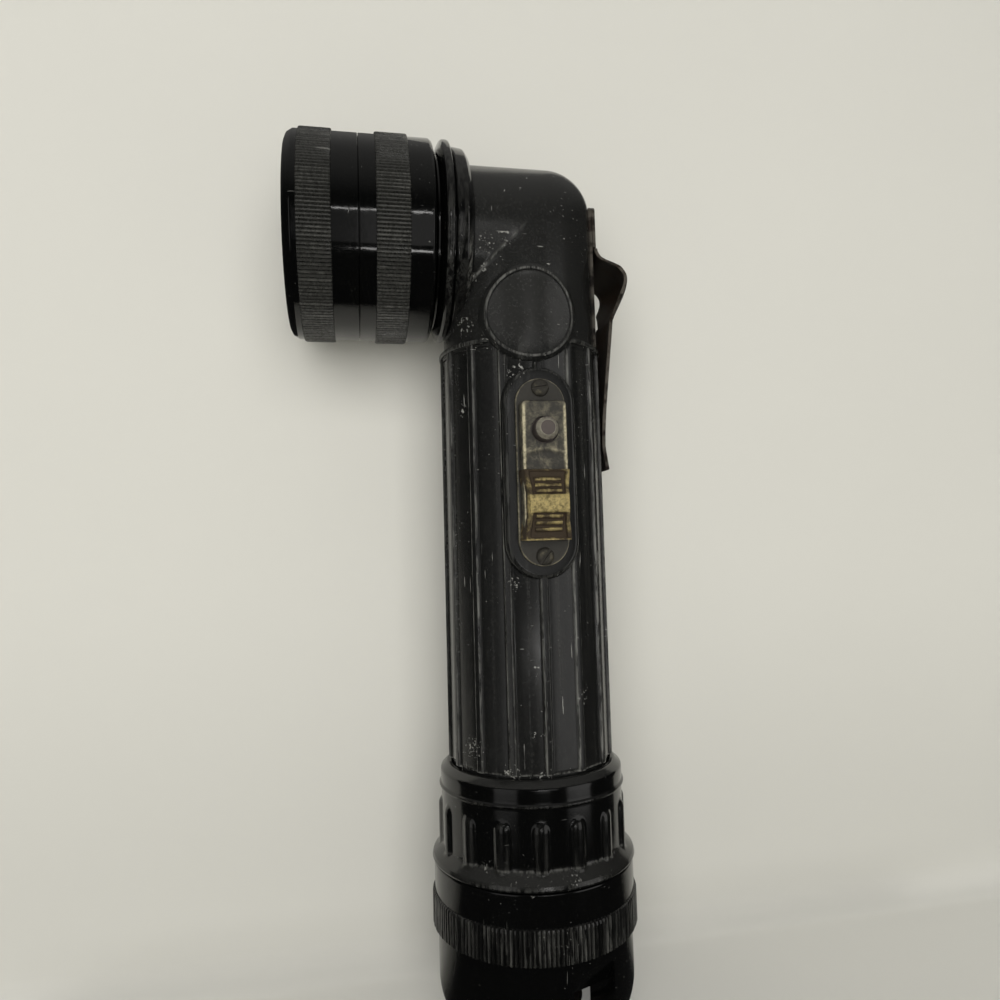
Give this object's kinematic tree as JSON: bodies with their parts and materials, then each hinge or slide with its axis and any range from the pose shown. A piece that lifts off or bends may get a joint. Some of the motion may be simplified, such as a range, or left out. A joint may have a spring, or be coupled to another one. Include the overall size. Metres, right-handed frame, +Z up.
{
  "type": "angle head flashlight",
  "caption": "Right-angle hand lamp: ribbed tube for large cells, elbow head with screw rings, thumb slide with signal button, belt clip and screw-off tail with a store for filters.",
  "frame": {"origin": "centre of the base on the tube axis, at the level the lamp stands on", "axes": "+Z up along the tube, -X the way the lamp shines, -Y the side of the switch, +X the side of the clip"},
  "size_m": [0.0828, 0.0514, 0.2077],
  "materials": {
    "shell_plastic": "glossy black moulded plastic, worn",
    "ring_plastic": "black moulded plastic, dusty in the knurls",
    "brass": "plain strip brass",
    "slide_brass": "worn brass with dark panels",
    "plate_metal": "darkened, worn bright at its edges",
    "screw_metal": "dull plated screws",
    "button_metal": "darkened metal",
    "clip_steel": "dark steel with rust",
    "bright_steel": "plated steel",
    "mirror_metal": "bright reflector",
    "lens_glass": "clear",
    "gasket": "soft black rubber",
    "board": "brown laminate",
    "cell_jacket": "plain jacket",
    "red_plastic": "clear red",
    "amber_plastic": "clear amber",
    "white_plastic": "milky diffuser"
  },
  "bodies": {
    "case": {"body_shell": "shell_plastic", "lamp_contact": "brass", "contact_strip": "brass", "cell_lower": "cell_jacket", "cell_upper": "cell_jacket", "cell_caps": "bright_steel", "switch_plate": "plate_metal", "switch_screws": "screw_metal", "switch_board": "board", "contact_rail": "brass", "signal_contact": "brass", "button_spring": "bright_steel", "clip_base": "clip_steel", "clip_root": "clip_steel", "clip_rivets": "clip_steel"},
    "thumb_slide": {"switch_slide": "slide_brass", "slide_shoe": "brass"},
    "signal_button": {"switch_button": "button_metal"},
    "clip_spring": {"clip_leaf": "clip_steel"},
    "lamp_unit": {"reflector": "mirror_metal", "lens_gasket": "gasket", "clear_lens": "lens_glass", "bulb_glass": "lens_glass", "bulb_base": "brass", "bulb_holder": "ring_plastic"},
    "lens_cap": {"lens_ring": "ring_plastic"},
    "window_unit": {"front_window": "lens_glass"},
    "filter_cap": {"filter_ring": "ring_plastic"},
    "tail_seal": {"cap_gasket": "gasket"},
    "tail_cap": {"battery_cap": "shell_plastic", "tail_spring": "bright_steel", "spring_plate": "brass"},
    "store_seal": {"store_gasket": "gasket"},
    "store_base": {"store_cap": "shell_plastic", "filter_red": "red_plastic", "filter_amber": "amber_plastic", "filter_diffuser": "white_plastic", "bulb_cushion": "gasket", "spare_glass": "lens_glass", "spare_base": "brass", "hang_post": "clip_steel"},
    "hanger": {"hang_ring": "clip_steel"}
  },
  "joints": [
    {"name": "switch_move", "type": "slide", "parent": "case", "child": "thumb_slide", "axis": [0, 0, 1], "range_m": [0, 0.0055]},
    {"name": "signal_press", "type": "slide", "parent": "case", "child": "signal_button", "axis": [0, 1, 0], "range_m": [0, 0.0015], "stiffness_N_per_m": 400, "springref_m": -0.001, "deforming": ["button_spring"]},
    {"name": "clip_flex", "type": "hinge", "parent": "case", "child": "clip_spring", "pos_m": [0.0201, 0, 0.1815], "axis": [0, -1, 0], "range_deg": [0, 8], "stiffness_Nm_per_rad": 3, "springref_deg": -2.86},
    {"name": "lamp_draw", "type": "slide", "parent": "case", "child": "lamp_unit", "axis": [-1, 0, 0], "range_m": [0, 0.0075]},
    {"name": "lens_turn", "type": "hinge", "parent": "lamp_unit", "child": "lens_cap", "pos_m": [-0.03, 0, 0.1833], "axis": [-1, 0, 0], "range_deg": [0, 900]},
    {"name": "window_draw", "type": "slide", "parent": "lens_cap", "child": "window_unit", "axis": [-1, 0, 0], "range_m": [0, 0.00625]},
    {"name": "filter_turn", "type": "hinge", "parent": "window_unit", "child": "filter_cap", "pos_m": [-0.047, 0, 0.1833], "axis": [-1, 0, 0], "range_deg": [0, 900]},
    {"name": "tail_draw", "type": "slide", "parent": "case", "child": "tail_seal", "axis": [0, 0, -1], "range_m": [0, 0.01]},
    {"name": "tail_turn", "type": "hinge", "parent": "tail_seal", "child": "tail_cap", "pos_m": [0, 0, 0.045], "axis": [0, 0, -1], "range_deg": [0, 900]},
    {"name": "store_draw", "type": "slide", "parent": "tail_cap", "child": "store_seal", "axis": [0, 0, -1], "range_m": [0, 0.0075]},
    {"name": "store_turn", "type": "hinge", "parent": "store_seal", "child": "store_base", "pos_m": [0, 0, 0.02], "axis": [0, 0, -1], "range_deg": [0, 900]},
    {"name": "ring_swing", "type": "hinge", "parent": "store_base", "child": "hanger", "pos_m": [0, 0, 0.0026], "axis": [0.9336, 0.3584, 0], "range_deg": [0, 180]}
  ],
  "couplings": [
    {"joint": "lamp_draw", "follows": "lens_turn", "m_per_rad": 0.00047746},
    {"joint": "window_draw", "follows": "filter_turn", "m_per_rad": 0.00039789},
    {"joint": "tail_draw", "follows": "tail_turn", "m_per_rad": 0.00063662},
    {"joint": "store_draw", "follows": "store_turn", "m_per_rad": 0.00047746}
  ]
}
